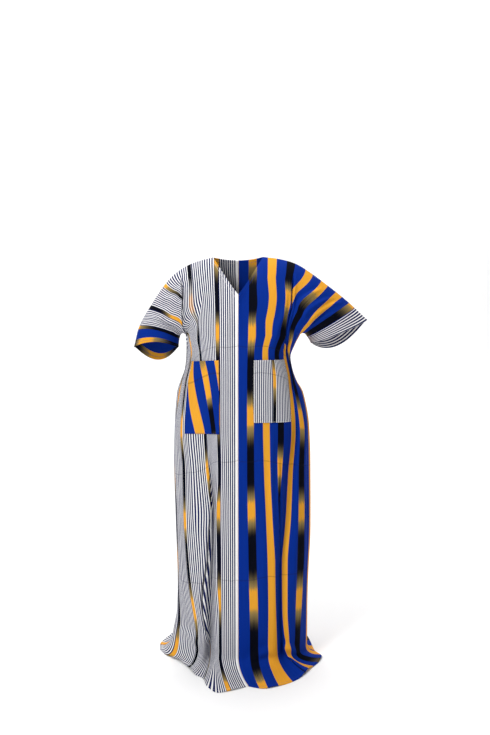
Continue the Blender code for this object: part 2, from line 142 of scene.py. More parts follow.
# Shoulder line from neck corner to cuff.
SHOULDER = {
    # u, x, y, z
    LEFT: [
        (0.088, 0.0855, 0.000, 0.0178),
        (0.130, 0.1310, 0.003, 0.0124),
        (0.176, 0.1755, 0.006, 0.0030),
        (0.208, 0.2060, 0.010, -0.0085),
        (0.270, 0.2578, 0.015, -0.0409),
        (0.335, 0.3101, 0.020, -0.0793),
        (0.388, 0.3523, 0.028, -0.1110),
        (0.448, 0.3980, 0.035, -0.1490),
        (0.525, 0.4548, 0.040, -0.2036),
    ],
    RIGHT: [
        (0.088, 0.0880, 0.000, 0.0161),
        (0.124, 0.1273, 0.003, 0.0066),
        (0.165, 0.1659, 0.006, -0.0063),
        (0.201, 0.1980, 0.008, -0.0236),
        (0.240, 0.2295, 0.012, -0.0470),
        (0.290, 0.2622, 0.018, -0.0828),
        (0.366, 0.3053, 0.025, -0.1460),
        (0.460, 0.3526, 0.030, -0.2302),
        (0.525, 0.3702, 0.030, -0.2983),
    ],
}

# Underarm seam from the top of the side seam to the bottom of the cuff.
UNDERARM = {
    # u, x, y, z
    LEFT: [
        (0.400, 0.2170, 0.000, -0.250),
        (0.418, 0.2240, 0.002, -0.247),
        (0.436, 0.2310, 0.005, -0.248),
        (0.465, 0.2430, 0.015, -0.261),
        (0.525, 0.2560, 0.030, -0.284),
    ],
    RIGHT: [
        (0.400, 0.1850, 0.000, -0.250),
        (0.418, 0.1935, 0.002, -0.247),
        (0.436, 0.2010, 0.006, -0.250),
        (0.465, 0.2090, 0.017, -0.267),
        (0.525, 0.2150, 0.030, -0.297),
    ],
}

# How far the cloth stands out round the arm, half way down.
FULLNESS = {
    # u, front out, front up, back out, back up
    LEFT: [
        (0.088, 0.000, 0.000, 0.000, 0.000),
        (0.180, 0.008, 0.000, 0.010, 0.000),
        (0.300, 0.038, 0.000, 0.036, 0.002),
        (0.400, 0.060, 0.002, 0.060, 0.000),
        (0.465, 0.063, -0.002, 0.064, -0.036),
        (0.525, 0.062, -0.004, 0.062, -0.055),
    ],
    RIGHT: [
        (0.088, 0.000, 0.000, 0.000, 0.000),
        (0.180, 0.010, 0.000, 0.010, 0.000),
        (0.300, 0.044, 0.002, 0.036, 0.002),
        (0.400, 0.068, 0.006, 0.060, 0.000),
        (0.465, 0.078, 0.016, 0.074, -0.034),
        (0.525, 0.078, 0.022, 0.078, -0.052),
    ],
}

# Rings round the trunk.
TRUNK = [
    # z, half width right, half width left, depth front, depth back
    (-0.250, 0.185, 0.217, 0.128, 0.125),
    (-0.290, 0.182, 0.196, 0.140, 0.130),
    (-0.330, 0.183, 0.182, 0.149, 0.136),
    (-0.372, 0.188, 0.189, 0.157, 0.141),
    (-0.412, 0.203, 0.203, 0.163, 0.146),
    (-0.455, 0.216, 0.227, 0.167, 0.150),
    (-0.575, 0.225, 0.249, 0.170, 0.156),
    (-0.700, 0.228, 0.254, 0.169, 0.157),
    (-0.930, 0.223, 0.256, 0.168, 0.156),
    (-1.130, 0.218, 0.248, 0.170, 0.157),
    (-1.234, 0.221, 0.246, 0.172, 0.160),
    (-1.320, 0.236, 0.246, 0.175, 0.164),
    (-1.395, 0.246, 0.244, 0.177, 0.166),
]

# How much lower a row of the cloth lies at the side seam than at the centre seam.
SAG = [
    # z, right, left
    (-0.250, 0.000, 0.000),
    (-0.300, 0.014, 0.003),
    (-0.345, 0.028, 0.006),
    (-0.450, 0.036, 0.010),
    (-0.580, 0.034, 0.010),
    (-0.760, 0.016, 0.005),
    (-1.000, 0.000, 0.000),
    (-1.395, 0.000, 0.000),
]

# Where lines of the cloth at set distances from the centre seam hang in the front.
FRONT_LINES = {
    # z, then x of the line at each distance from the centre seam
    LEFT: {
        "u": [0.052, 0.118, 0.184, 0.250, 0.316],
        "x": [
            (-0.250, 0.0465, 0.1030, 0.1430, 0.1720, 0.1960),
            (-0.305, 0.0430, 0.0910, 0.1300, 0.1590, 0.1750),
            (-0.400, 0.0410, 0.0930, 0.1400, 0.1760, 0.1900),
            (-0.585, 0.0410, 0.0950, 0.1440, 0.1900, 0.2180),
            (-0.720, 0.0415, 0.0985, 0.1400, 0.1800, 0.2140),
            (-0.870, 0.0450, 0.1045, 0.1360, 0.1730, 0.2150),
            (-1.040, 0.0485, 0.1100, 0.1340, 0.1600, 0.2140),
            (-1.200, 0.0530, 0.1120, 0.1380, 0.1610, 0.2100),
            (-1.340, 0.0545, 0.1130, 0.1480, 0.1740, 0.2050),
            (-1.395, 0.0560, 0.1150, 0.1540, 0.1820, 0.2080),
        ],
    },
    RIGHT: {
        "u": [0.078, 0.173, 0.268, 0.363],
        "x": [
            (-0.250, 0.0715, 0.1370, 0.1660, 0.1810),
            (-0.305, 0.0700, 0.1300, 0.1620, 0.1790),
            (-0.400, 0.0680, 0.1220, 0.1810, 0.1980),
            (-0.575, 0.0670, 0.1120, 0.1960, 0.2220),
            (-0.700, 0.0645, 0.1060, 0.1880, 0.2240),
            (-0.860, 0.0655, 0.0960, 0.1860, 0.2190),
            (-1.020, 0.0640, 0.0960, 0.1770, 0.2160),
            (-1.120, 0.0640, 0.0980, 0.1670, 0.2140),
            (-1.250, 0.0630, 0.0980, 0.1460, 0.2080),
            (-1.340, 0.0630, 0.0980, 0.1410, 0.2160),
            (-1.395, 0.0630, 0.0980, 0.1480, 0.2200),
        ],
    },
}

# Long folds: troughs that run down the cloth.
FOLDS = [
    # side, face, u at top, u at bottom, z top, z full, z bottom, depth, half width
    (LEFT, FRONT, 0.265, 0.190, -0.42, -0.62, -1.60, 0.034, 0.036),
    (LEFT, FRONT, 0.250, 0.270, -0.16, -0.30, -0.50, 0.028, 0.040),
    (LEFT, FRONT, 0.345, 0.350, -0.46, -0.70, -1.38, 0.010, 0.018),
    (RIGHT, FRONT, 0.120, 0.178, -0.48, -1.05, -1.60, 0.042, 0.034),
    (RIGHT, FRONT, 0.255, 0.245, -0.20, -0.34, -0.56, 0.022, 0.034),
    (RIGHT, FRONT, 0.315, 0.320, -0.60, -0.80, -1.34, 0.010, 0.020),
    (LEFT, BACK, 0.185, 0.150, -0.30, -0.60, -1.60, 0.026, 0.034),
    (LEFT, BACK, 0.290, 0.310, -0.22, -0.40, -1.34, 0.020, 0.030),
    (RIGHT, BACK, 0.160, 0.195, -0.34, -0.64, -1.60, 0.028, 0.034),
    (RIGHT, BACK, 0.290, 0.325, -0.20, -0.40, -1.36, 0.018, 0.030),
]
FADE = 0.08                # length over which a fold ends

# Where the hem lies on the floor.
HEM = {
    # u, x, y
    (LEFT, FRONT): [
        (0.000, 0.034, -0.302),
        (0.052, 0.083, -0.320),
        (0.118, 0.147, -0.293),
        (0.184, 0.206, -0.240),
        (0.250, 0.250, -0.160),
        (0.316, 0.284, -0.098),
        (0.355, 0.295, -0.058),
        (0.400, 0.274, -0.006),
    ],
    (RIGHT, FRONT): [
        (0.000, -0.034, -0.302),
        (0.078, 0.031, -0.340),
        (0.118, 0.067, -0.350),
        (0.142, 0.104, -0.296),
        (0.178, 0.118, -0.240),
        (0.215, 0.148, -0.212),
        (0.268, 0.170, -0.160),
        (0.330, 0.222, -0.078),
        (0.370, 0.264, -0.034),
        (0.400, 0.286, 0.010),
    ],
    (LEFT, BACK): [
        (0.000, 0.012, 0.286),
        (0.100, 0.112, 0.288),
        (0.200, 0.200, 0.238),
        (0.300, 0.256, 0.140),
        (0.400, 0.274, -0.006),
    ],
    (RIGHT, BACK): [
        (0.000, -0.012, 0.286),
        (0.100, 0.088, 0.298),
        (0.200, 0.184, 0.254),
        (0.300, 0.248, 0.164),
        (0.372, 0.289, 0.052),
        (0.400, 0.286, 0.010),
    ],
}

# Ridges of the cloth that lies on the floor.
RIPPLES = [
    # side, face, u, rise, half width
    (LEFT, FRONT, 0.085, 0.008, 0.030),
    (LEFT, FRONT, 0.225, 0.018, 0.032),
    (LEFT, FRONT, 0.335, 0.012, 0.026),
    (RIGHT, FRONT, 0.060, 0.008, 0.030),
    (RIGHT, FRONT, 0.240, 0.018, 0.034),
    (RIGHT, FRONT, 0.315, 0.009, 0.026),
    (LEFT, BACK, 0.100, 0.018, 0.034),
    (LEFT, BACK, 0.250, 0.016, 0.030),
    (RIGHT, BACK, 0.130, 0.018, 0.034),
    (RIGHT, BACK, 0.280, 0.018, 0.030),
]

# Height above the floor where the cloth starts to turn out.
TURN_HEIGHT = {
    # height at the centre seam, height at the side seam
    LEFT: (0.075, 0.060),
    RIGHT: (0.075, 0.130),
}

# Ridges and troughs of the hanging cloth, on the flat cut.
CREASES = [
    # side, face, u and v at one end, u and v at the other, bow, rise, half width
    # drag lines from the arm
    (LEFT, FRONT, 0.300, 0.190, 0.322, 0.040, 0.010, 0.0055, 0.009),
    (LEFT, FRONT, 0.340, 0.200, 0.378, 0.050, 0.012, 0.0060, 0.010),
    (LEFT, FRONT, 0.372, 0.190, 0.418, 0.035, 0.010, 0.0055, 0.009),
    (LEFT, FRONT, 0.405, 0.200, 0.448, 0.080, 0.006, 0.0045, 0.008),
    (LEFT, FRONT, 0.175, 0.090, 0.130, 0.330, 0.014, 0.0045, 0.014),
    (LEFT, FRONT, 0.190, 0.170, 0.150, 0.350, -0.010, 0.0040, 0.011),
    (RIGHT, FRONT, 0.250, 0.150, 0.262, 0.030, 0.008, 0.0050, 0.009),
    (RIGHT, FRONT, 0.300, 0.180, 0.318, 0.040, 0.010, 0.0060, 0.010),
    (RIGHT, FRONT, 0.345, 0.200, 0.362, 0.060, 0.008, 0.0055, 0.010),
    (RIGHT, FRONT, 0.392, 0.220, 0.410, 0.050, 0.010, 0.0055, 0.009),
    (RIGHT, FRONT, 0.425, 0.190, 0.446, 0.030, 0.006, 0.0045, 0.008),
    (RIGHT, FRONT, 0.190, 0.100, 0.120, 0.330, 0.012, 0.0045, 0.013),
    (RIGHT, FRONT, 0.200, 0.190, 0.150, 0.345, 0.010, 0.0040, 0.011),
    (LEFT, BACK, 0.300, 0.180, 0.330, 0.030, 0.010, 0.0055, 0.010),
    (LEFT, BACK, 0.350, 0.200, 0.385, 0.040, 0.010, 0.0060, 0.010),
    (LEFT, BACK, 0.400, 0.190, 0.432, 0.050, 0.008, 0.0050, 0.009),
    (LEFT, BACK, 0.200, 0.110, 0.110, 0.340, 0.012, 0.0045, 0.014),
    (RIGHT, BACK, 0.265, 0.160, 0.280, 0.030, 0.008, 0.0050, 0.009),
    (RIGHT, BACK, 0.330, 0.190, 0.350, 0.045, 0.010, 0.0060, 0.010),
    (RIGHT, BACK, 0.390, 0.200, 0.420, 0.040, 0.008, 0.0055, 0.009),
    (RIGHT, BACK, 0.190, 0.120, 0.090, 0.350, 0.012, 0.0045, 0.014),
    # long soft folds of the skirt
    (LEFT, FRONT, 0.090, 0.560, 0.082, 1.380, 0.006, 0.0032, 0.012),
    (LEFT, FRONT, 0.150, 0.600, 0.142, 1.050, -0.006, 0.0035, 0.011),
    (LEFT, FRONT, 0.290, 0.520, 0.282, 1.350, 0.010, 0.0045, 0.012),
    (LEFT, FRONT, 0.345, 0.450, 0.338, 1.300, -0.008, 0.0050, 0.013),
    (RIGHT, FRONT, 0.050, 0.620, 0.058, 1.400, 0.005, 0.0028, 0.011),
    (RIGHT, FRONT, 0.230, 0.560, 0.215, 1.020, 0.010, 0.0045, 0.012),
    (RIGHT, FRONT, 0.300, 0.500, 0.310, 1.300, 0.010, 0.0050, 0.013),
    (RIGHT, FRONT, 0.350, 0.420, 0.345, 1.250, -0.008, 0.0045, 0.012),
    (LEFT, BACK, 0.060, 0.400, 0.052, 1.350, 0.008, 0.0045, 0.014),
    (LEFT, BACK, 0.230, 0.500, 0.245, 1.400, 0.012, 0.0055, 0.014),
    (LEFT, BACK, 0.330, 0.420, 0.320, 1.200, -0.010, 0.0050, 0.013),
    (RIGHT, BACK, 0.090, 0.450, 0.100, 1.400, 0.010, 0.0050, 0.015),
    (RIGHT, BACK, 0.270, 0.600, 0.285, 1.350, 0.010, 0.0050, 0.014),
    (RIGHT, BACK, 0.350, 0.400, 0.340, 1.150, -0.008, 0.0045, 0.012),
    # breaks in the cloth just above the floor
    (LEFT, FRONT, 0.020, 1.420, 0.130, 1.385, 0.010, 0.0050, 0.015),
    (LEFT, FRONT, 0.210, 1.370, 0.330, 1.400, 0.012, 0.0060, 0.014),
    (RIGHT, FRONT, 0.030, 1.400, 0.150, 1.430, 0.010, 0.0045, 0.014),
    (RIGHT, FRONT, 0.250, 1.330, 0.370, 1.280, 0.014, 0.0060, 0.015),
    (LEFT, BACK, 0.030, 1.360, 0.190, 1.400, 0.012, 0.0055, 0.016),
    (RIGHT, BACK, 0.050, 1.390, 0.230, 1.340, 0.012, 0.0055, 0.016),
]

# Deep folds under the arms and down the skirt. Level 0 is the shoulder, 1 the underarm, and
# each further quarter metre down adds 1.
TUCKS = {
    # level, place of the fold, last u inside, first u outside, reach inward, reach outward (0 is all)
    (LEFT, FRONT): [[
        (0.00, 0.195, 0.195, 0.195, 0.19, 0), (0.20, 0.198, 0.198, 0.198, 0.19, 0),
        (0.30, 0.202, 0.199, 0.206, 0.19, 0), (0.40, 0.207, 0.200, 0.222, 0.19, 0),
        (0.52, 0.217, 0.200, 0.246, 0.19, 0), (0.61, 0.229, 0.203, 0.262, 0.19, 0),
        (0.70, 0.242, 0.210, 0.270, 0.18, 0), (0.80, 0.240, 0.207, 0.275, 0.14, 0),
        (0.90, 0.234, 0.203, 0.278, 0.09, 0), (1.00, 0.228, 0.200, 0.280, 0.07, 0),
        (1.10, 0.233, 0.208, 0.268, 0.07, 0), (1.20, 0.240, 0.223, 0.256, 0.07, 0),
        (1.32, 0.240, 0.240, 0.240, 0.07, 0), (9.00, 0.240, 0.240, 0.240, 0.07, 0)], [
        (0.00, 0.186, 0.186, 0.186, 0.05, 0.05), (2.60, 0.186, 0.186, 0.186, 0.05, 0.05),
        (2.96, 0.188, 0.180, 0.195, 0.048, 0.041), (3.52, 0.195, 0.174, 0.205, 0.060, 0.031),
        (3.87, 0.200, 0.165, 0.215, 0.058, 0.021), (4.26, 0.209, 0.156, 0.225, 0.052, 0.015),
        (4.91, 0.205, 0.155, 0.225, 0.052, 0.015), (5.30, 0.213, 0.160, 0.224, 0.055, 0.016),
        (5.58, 0.214, 0.164, 0.223, 0.060, 0.020), (9.00, 0.214, 0.164, 0.223, 0.060, 0.020)]],
    (RIGHT, FRONT): [[
        (0.00, 0.205, 0.205, 0.205, 0.075, 0), (0.20, 0.208, 0.207, 0.209, 0.075, 0),
        (0.30, 0.213, 0.205, 0.219, 0.075, 0), (0.40, 0.219, 0.205, 0.238, 0.075, 0),
        (0.50, 0.233, 0.206, 0.262, 0.075, 0), (0.60, 0.260, 0.210, 0.305, 0.075, 0),
        (0.70, 0.303, 0.219, 0.350, 0.075, 0), (0.80, 0.335, 0.240, 0.378, 0.085, 0),
        (0.90, 0.335, 0.265, 0.375, 0.085, 0), (1.00, 0.325, 0.285, 0.358, 0.08, 0),
        (1.12, 0.320, 0.302, 0.338, 0.08, 0), (1.25, 0.320, 0.320, 0.320, 0.08, 0),
        (9.00, 0.320, 0.320, 0.320, 0.08, 0)], [
        (0.00, 0.150, 0.150, 0.150, 0.050, 0.040), (2.70, 0.150, 0.150, 0.150, 0.050, 0.040),
        (3.00, 0.157, 0.138, 0.164, 0.050, 0.045), (3.24, 0.162, 0.124, 0.169, 0.048, 0.050),
        (3.55, 0.170, 0.110, 0.178, 0.036, 0.055), (3.87, 0.182, 0.113, 0.186, 0.038, 0.055),
        (4.27, 0.190, 0.120, 0.196, 0.045, 0.055), (4.64, 0.209, 0.136, 0.216, 0.059, 0.050),
        (4.95, 0.220, 0.148, 0.226, 0.059, 0.050), (5.20, 0.214, 0.154, 0.226, 0.059, 0.050),
        (5.40, 0.190, 0.158, 0.204, 0.059, 0.050), (5.54, 0.171, 0.161, 0.181, 0.059, 0.050),
        (9.00, 0.171, 0.161, 0.181, 0.059, 0.050)]],
    (LEFT, BACK): [[
        (0.00, 0.200, 0.200, 0.200, 0.10, 0), (0.25, 0.205, 0.204, 0.207, 0.10, 0),
        (0.50, 0.220, 0.204, 0.240, 0.10, 0), (0.75, 0.262, 0.222, 0.298, 0.10, 0),
        (1.00, 0.285, 0.250, 0.318, 0.09, 0), (1.20, 0.292, 0.275, 0.308, 0.09, 0),
        (1.45, 0.292, 0.292, 0.292, 0.09, 0), (9.00, 0.292, 0.292, 0.292, 0.09, 0)], [
        (0.00, 0.120, 0.120, 0.120, 0.060, 0.060), (2.40, 0.120, 0.120, 0.120, 0.060, 0.060),
        (3.10, 0.126, 0.112, 0.140, 0.060, 0.060), (4.20, 0.140, 0.112, 0.170, 0.070, 0.070),
        (5.20, 0.150, 0.120, 0.176, 0.080, 0.070), (5.58, 0.150, 0.132, 0.166, 0.080, 0.070),
        (9.00, 0.150, 0.132, 0.166, 0.080, 0.070)]],
    (RIGHT, BACK): [[
        (0.00, 0.210, 0.210, 0.210, 0.09, 0), (0.25, 0.214, 0.212, 0.217, 0.09, 0),
        (0.50, 0.236, 0.212, 0.262, 0.09, 0), (0.75, 0.285, 0.235, 0.330, 0.09, 0),
        (1.00, 0.300, 0.262, 0.335, 0.08, 0), (1.25, 0.300, 0.285, 0.315, 0.08, 0),
        (1.50, 0.300, 0.300, 0.300, 0.08, 0), (9.00, 0.300, 0.300, 0.300, 0.08, 0)], [
        (0.00, 0.215, 0.215, 0.215, 0.070, 0.060), (1.90, 0.215, 0.215, 0.215, 0.070, 0.060),
        (2.80, 0.205, 0.192, 0.222, 0.070, 0.060), (3.90, 0.196, 0.168, 0.224, 0.080, 0.070),
        (5.10, 0.186, 0.160, 0.208, 0.080, 0.070), (5.58, 0.184, 0.168, 0.198, 0.080, 0.070),
        (9.00, 0.184, 0.168, 0.198, 0.080, 0.070)]],
}
SLIP = {(LEFT, FRONT): 0.008, (RIGHT, FRONT): 0.016, (LEFT, BACK): 0.006, (RIGHT, BACK): 0.010}


def smooth(table, column, where):
    """Read one column of a table at many places, along a curve with no overshoot."""
    rows = np.array(table)
    xs, ys = rows[:, 0], rows[:, column]
    if xs[0] > xs[-1]:
        xs, ys = xs[::-1], ys[::-1]
    steps = np.diff(ys) / np.diff(xs)
    product = steps[:-1] * steps[1:]
    total = np.where(steps[:-1] + steps[1:] == 0, 1.0, steps[:-1] + steps[1:])
    inner = np.where(product > 0, 2 * product / total, 0.0)
    slopes = np.concatenate([steps[:1], inner, steps[-1:]])
    where = np.clip(where, xs[0], xs[-1])
    i = np.clip(np.searchsorted(xs, where) - 1, 0, len(xs) - 2)
    span = xs[i + 1] - xs[i]
    t = (where - xs[i]) / span
    start = ys[i] * (1 + 2 * t) * (1 - t) ** 2 + slopes[i] * span * t * (1 - t) ** 2
    end = ys[i + 1] * t ** 2 * (3 - 2 * t) + slopes[i + 1] * span * t ** 2 * (t - 1)
    return start + end


def ease(t):
    """Rise from 0 to 1 with a level start and end."""
    t = np.clip(t, 0.0, 1.0)
    return t * t * (3 - 2 * t)


def trunk_ring(side, face, z, u):
    """One level of the trunk: a squared oval, with long folds that draw it in.

    Half the oval is x = half width times sin to the power 2 over p, and y = depth
    times cos to the same power. The front lines hang where their table puts them.
    """
    turn = np.linspace(0.0, math.pi / 2, 241)
    sag = smooth(SAG, 1 if side == RIGHT else 2, z)
    level = z - sag * (turn / (math.pi / 2)) ** 2
    x = smooth(TRUNK, 1 if side == RIGHT else 2, level) * np.sin(turn) ** (2 / RING_POWER)
    y = smooth(TRUNK, 3 if face == FRONT else 4, level) * np.cos(turn) ** (2 / RING_POWER)
    arc = np.concatenate([[0.0], np.cumsum(np.hypot(np.diff(x), np.diff(y)))])
    inward = np.zeros_like(u)
    for a_side, a_face, top, bottom, z_top, z_full, z_bottom, depth, width in FOLDS:
        if (a_side, a_face) == (side, face):
            strength = ease((z_top - z) / (z_top - z_full)) * ease((z - z_bottom) / FADE)
            down = np.clip((z_top - z) / (z_top - max(z_bottom, FLOOR_Z)), 0, 1)
            centre = top + (bottom - top) * down
            inward += depth * strength * np.exp(-(((u - centre) / width) ** 2))
    if face == FRONT:
        lines = FRONT_LINES[side]
        at = [float(smooth(lines["x"], k + 1, z)) for k in range(len(lines["u"]))]
        hang = [(0.0, 0.0), *zip(lines["u"], np.interp(at, x, arc)), (HALF_WIDTH, arc[-1])]
        place = smooth(hang, 1, u)
        move_x, move_y = 0.0, -inward
    else:
        place = u / HALF_WIDTH * arc[-1]
        move_x = inward * np.interp(place, arc, np.gradient(y, arc))
        move_y = -inward * np.interp(place, arc, np.gradient(x, arc))
    out_x = np.interp(place, arc, x) + move_x
    out_y = np.maximum(np.interp(place, arc, y) + move_y, 0.0)
    return np.stack([side * out_x, face * out_y, np.interp(place, arc, level)], axis=-1)


def neck_and_shoulder(side, face, u):
    """Where each column starts: on the neck edge, or on the shoulder line further out."""
    x, y, z = (smooth(SHOULDER[side], k, u) for k in (1, 2, 3))
    out = np.clip(u / NECK_HALF, 0.0, 1.0)
    corner = SHOULDER[side][0]
    if face == FRONT:
        neck_y = NECK_FRONT[0] * (1 - out) ** NECK_CURVE[0]
        neck_z = NECK_FRONT[1] + (corner[3] - NECK_FRONT[1]) * out ** NECK_CURVE[1]
    else:
        neck_y = NECK_BACK[0] * (1 - out ** 2)
        neck_z = NECK_BACK[1] + (corner[3] - NECK_BACK[1]) * out ** 2
    inside = u < NECK_HALF
    points = [
        np.where(inside, corner[1] * out, x) * side,
        np.where(inside, neck_y, y),
        np.where(inside, neck_z, z),
    ]
    return np.stack(points, axis=-1)


def yoke_and_sleeve(side, face, u, t):
    """The cloth from the shoulder to the underarm level: columns by shares t.

    Near the centre a column falls straight and reaches out to the chest. Round the arm
    it is half of an oval, swollen by the fullness table.
    """
    top = neck_and_shoulder(side, face, u)[:, None, :]
    trunk = trunk_ring(side, face, UNDERARM_Z, np.minimum(u, HALF_WIDTH))
    arm = np.stack([smooth(UNDERARM[side], k, u) for k in (1, 2, 3)], axis=-1) * [side, 1, 1]
    low = np.where((u <= HALF_WIDTH + 1e-9)[:, None], trunk, arm)[:, None, :]
    tube = ease((u - YOKE) / (HALF_WIDTH - YOKE))[:, None]
    bend = CHEST_ROUND * ease(u / (YOKE / 2))[:, None]
    quarter = 1 - np.cos(t * math.pi / 2)
    half = (1 - np.cos(t * math.pi)) / 2
    fall = (1 - tube) * ((1 - bend) * t + bend * quarter) + tube * half
    reach = (1 - tube) * (t + CHEST_REACH * t * (1 - t)) + tube * half
    out, up = (1, 2) if face == FRONT else (3, 4)
    swell_out = smooth(FULLNESS[side], out, np.maximum(u, NECK_HALF))[:, None]
    swell_up = smooth(FULLNESS[side], up, np.maximum(u, NECK_HALF))[:, None]
    x = top[..., 0] + (low[..., 0] - top[..., 0]) * half
    y = top[..., 1] + (low[..., 1] - top[..., 1]) * reach + face * swell_out * np.sin(t * math.pi)
    z = top[..., 2] + (low[..., 2] - top[..., 2]) * fall + swell_up * np.sin(t * math.pi) ** 2
    return np.stack([x, y, z], axis=-1)


def skirt(side, face, u, rows):
    """The trunk from the underarm level down to where each column turns out."""
    levels = np.linspace(UNDERARM_Z, FLOOR_Z, 260)
    rings = np.array([trunk_ring(side, face, z, u) for z in levels])
    centre, seam = TURN_HEIGHT[side]
    turn = CAD_WALL / 2 + BREAK * (centre + (seam - centre) * (u / HALF_WIDTH) ** 2)
    z = UNDERARM_Z + (FLOOR_Z + turn - UNDERARM_Z)[:, None] * rows[None, :]
    at = (z - UNDERARM_Z) / (FLOOR_Z - UNDERARM_Z) * (levels.size - 1)
    low = np.clip(at.astype(int), 0, levels.size - 2)
    part = (at - low)[..., None]
    column = np.arange(u.size)[:, None]
    return rings[low, column] * (1 - part) + rings[low + 1, column] * part, rings[-1]


def floor_spread(side, face, u, start, foot, steps):
    """The spare length: each column bends from upright to flat, then lies to the hem."""
    ground = FLOOR_Z + CAD_WALL / 2
    hem_x = side * smooth(HEM[(side, face)], 1, u)
    hem_y = smooth(HEM[(side, face)], 2, u)
    hem = np.stack([hem_x, hem_y, np.full_like(u, ground)], axis=-1)[:, None, :]
    corner = np.stack([foot[:, 0], foot[:, 1], np.full_like(u, ground)], axis=-1)[:, None, :]
    lift = np.zeros_like(u)
    for a_side, a_face, centre, rise, width in RIPPLES:
        if (a_side, a_face) == (side, face):
            lift += rise * np.exp(-(((u - centre) / width) ** 2))
    s = steps[None, :, None]
    curve = (1 - s) ** 2 * start[:, None, :] + 2 * s * (1 - s) * corner + s ** 2 * hem
    curve[..., 2] += lift[:, None] * ease(steps / 0.7) * (1 - 0.5 * steps)
    return curve


def stand_out(points, side, face):
    """Directions square to a grid of points, away from the body."""
    across = np.gradient(points, axis=0)
    down = np.gradient(points, axis=1)
    normal = np.cross(across, down)
    size = np.linalg.norm(normal, axis=-1, keepdims=True)
    return normal / np.maximum(size, 1e-9) * side * face


def crease_height(side, face, u, v):
    """Soft ridges and troughs laid on the flat cut.

    Each is a line from one place to another, bowed sideways, with a rounded cross
    section and a shallow dip beside it, and it dies away at both ends.
    """
    height = np.zeros_like(u)
    for a_side, a_face, u0, v0, u1, v1, bow, rise, width in CREASES:
        if (a_side, a_face) != (side, face):
            continue
        run = np.array([u1 - u0, v1 - v0])
        length = np.hypot(*run)
        along = ((u - u0) * run[0] + (v - v0) * run[1]) / length ** 2
        across = ((u - u0) * run[1] - (v - v0) * run[0]) / length
        across -= bow * np.sin(math.pi * np.clip(along, 0, 1))
        fade = ease((along + 0.02) / 0.25) * ease((1.02 - along) / 0.35)
        beside = np.exp(-(((across - 1.7 * width) / (1.2 * width)) ** 2))
        ridge = np.exp(-((across / width) ** 2)) - 0.45 * beside
        height += rise * fade * ridge
    return height


def slid_columns(side, face, u, levels):
    """Slide the columns so that deep folds hide part of the cloth.

    The columns between a fold's inner and outer edge all lie in one narrow groove with a
    round bottom. To both sides of it the slide fades to nothing. Gives each column's place on each level,
    and how far it stands in or out there.
    """
    u = u[:, None]
    end = BAND_START - (BAND_START - HALF_WIDTH) * ease((levels[None, :] - 0.7) / 0.3)
    slip = SLIP[(side, face)] * (1 - ease(levels / 0.45))[None, :]
    place = u + slip * ease((u - 0.19) / 0.07) * ease((BAND_START - u) / 0.07)
    height = np.zeros_like(place)
    for fold in TUCKS[(side, face)]:
        line, inner, outer, reach, far = (smooth(fold, k, levels)[None, :] for k in range(1, 6))
        hidden = outer - inner
        far = np.where(far > 0, far, end - outer)
        mouth = MOUTH * np.clip(hidden / (5 * MOUTH), 0, 1)
        before = np.clip(1 - (inner - u) / reach, 0, 1)
        after = np.clip(1 - (u - outer) / far, 0, 1)
        before = before + (ease(before) - before) * np.clip((reach - 0.06) / 0.06, 0, 1)
        after = after + (ease(after) - after) * np.clip((far - 0.06) / 0.06, 0, 1)
        share = np.clip((u - inner) / np.maximum(hidden, 1e-6), 0, 1)
        across = 2 * share - 1
        within = line + mouth * np.sin(math.pi / 2 * np.clip(across / ROUND, -1, 1)) - u
        slide = np.where(u <= inner, (line - mouth - inner) * before, (line + mouth - outer) * after)
        inside = (u > inner) & (u < outer)
        place = place + np.where(inside, within, slide)
        groove = -np.minimum(HIDDEN_DEPTH * hidden, DEEPEST) * (1 - across ** 2)
        away = np.abs(u + slide - line)
        rolled = np.where(u >= outer, ROLL_OUTER, ROLL_INNER) * np.clip(hidden / 0.05, 0, 1)
        height += np.where(inside, groove, rolled * np.exp(-(((away - 0.010) / 0.010) ** 2)))
    return place, height


def read_across(grid, place, step):
    """Read each row of a grid at its own places between the columns."""
    at = np.clip(place / step, 0, grid.shape[0] - 1)
    low = np.minimum(at.astype(int), grid.shape[0] - 2)
    part = at - low
    row = np.arange(grid.shape[1])[None, :]
    if grid.ndim == 3:
        part = part[..., None]
    return grid[low, row] * (1 - part) + grid[low + 1, row] * part


